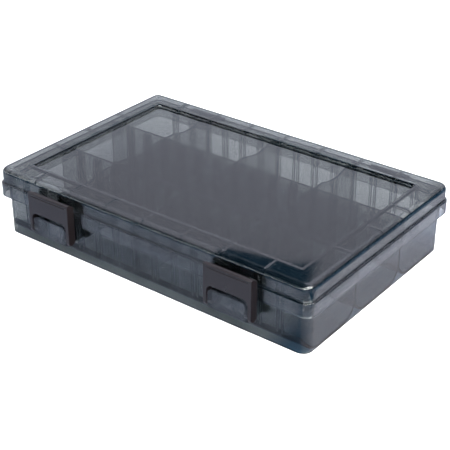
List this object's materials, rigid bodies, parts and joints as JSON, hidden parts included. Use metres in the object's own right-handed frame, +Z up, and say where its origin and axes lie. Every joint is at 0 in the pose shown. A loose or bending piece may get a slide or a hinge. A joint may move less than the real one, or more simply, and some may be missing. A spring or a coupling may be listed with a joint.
{
  "type": "tackle case",
  "caption": "Flat translucent tackle case with a hinged lid, black swing latches, long round-bottomed troughs with ribbed slots, and lift-out dividers.",
  "frame": {"origin": "middle of the box round the whole case, on the surface that the tray stands on", "axes": "+X to the right along the case's long side, seen from the latches; -Y towards the latches; +Z up"},
  "size_m": [0.275, 0.1936, 0.0527],
  "materials": {
    "smoke_tray": "glossy translucent smoke-grey moulding",
    "smoke_lid": "glossy translucent smoke-grey moulding",
    "smoke_divider": "glossy translucent smoke-grey moulding",
    "latch_black": "semi-gloss brown-black moulding",
    "pin_steel": "drawn steel wire"
  },
  "bodies": {
    "tray": {"tray": "smoke_tray", "hinge_pin_left": "pin_steel", "hinge_pin_right": "pin_steel", "divider_front_left": "smoke_divider", "divider_front_centre": "smoke_divider", "divider_front_right": "smoke_divider", "divider_middle_left": "smoke_divider", "divider_middle_centre": "smoke_divider", "divider_middle_right": "smoke_divider", "divider_back_left": "smoke_divider", "divider_back_centre": "smoke_divider", "divider_back_right": "smoke_divider"},
    "lid": {"lid": "smoke_lid"},
    "latch_left": {"latch_left": "latch_black"},
    "latch_right": {"latch_right": "latch_black"}
  },
  "joints": [
    {"name": "lid_hinge", "type": "hinge", "parent": "tray", "child": "lid", "pos_m": [0, 0.0936, 0.041], "axis": [-1, 0, 0], "range_deg": [0, 180]},
    {"name": "latch_left_swing", "type": "hinge", "parent": "tray", "child": "latch_left", "pos_m": [-0.079, -0.09358, 0.0186], "axis": [1, 0, 0], "range_deg": [0, 100]},
    {"name": "latch_right_swing", "type": "hinge", "parent": "tray", "child": "latch_right", "pos_m": [0.079, -0.09358, 0.0186], "axis": [1, 0, 0], "range_deg": [0, 100]}
  ]
}
